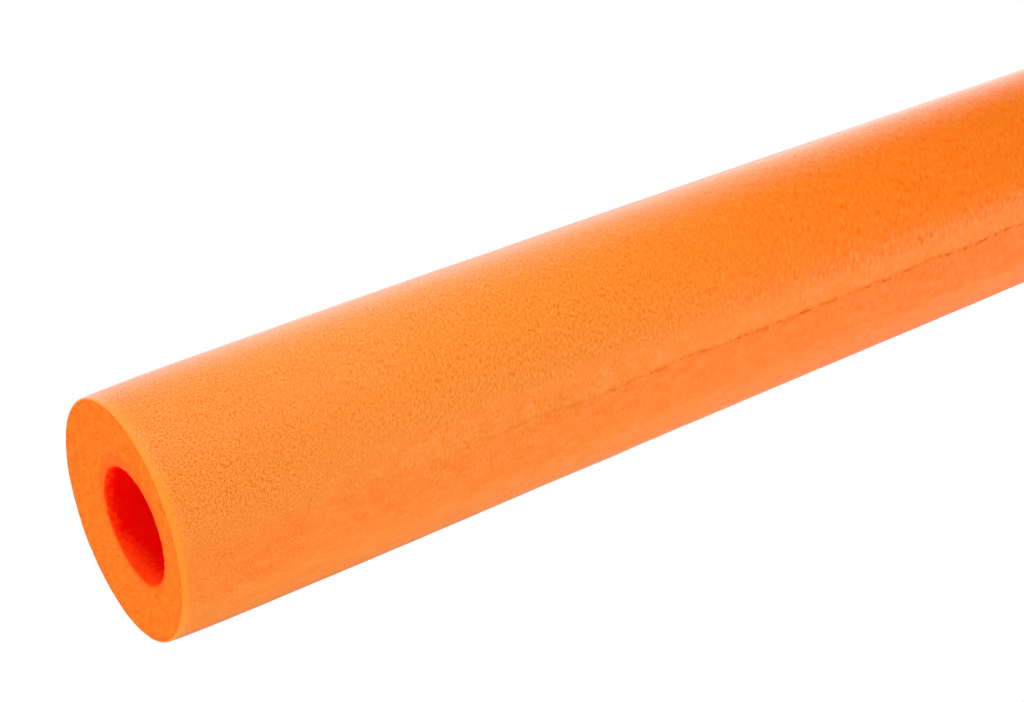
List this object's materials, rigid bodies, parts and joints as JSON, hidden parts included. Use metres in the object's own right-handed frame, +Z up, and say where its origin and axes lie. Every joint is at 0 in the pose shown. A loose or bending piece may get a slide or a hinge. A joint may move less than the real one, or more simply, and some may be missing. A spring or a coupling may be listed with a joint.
{
  "type": "foam flotation tube",
  "caption": "Straight hollow flotation tube of closed-cell foam, with a smooth outer skin, square-cut ends and an off-centre through bore.",
  "frame": {"origin": "on the outer wall's axis, at mid-length", "axes": "+X along the tube, +Z up, -Y towards the side the bore is nearer to"},
  "size_m": [1.6, 0.0649, 0.065],
  "materials": {
    "outer_skin": "satin",
    "foam_core": "matte",
    "bore_skin": "satin"
  },
  "bodies": {
    "root": {"outer_skin": "outer_skin", "foam_core": "foam_core", "bore_skin": "bore_skin"}
  },
  "joints": []
}
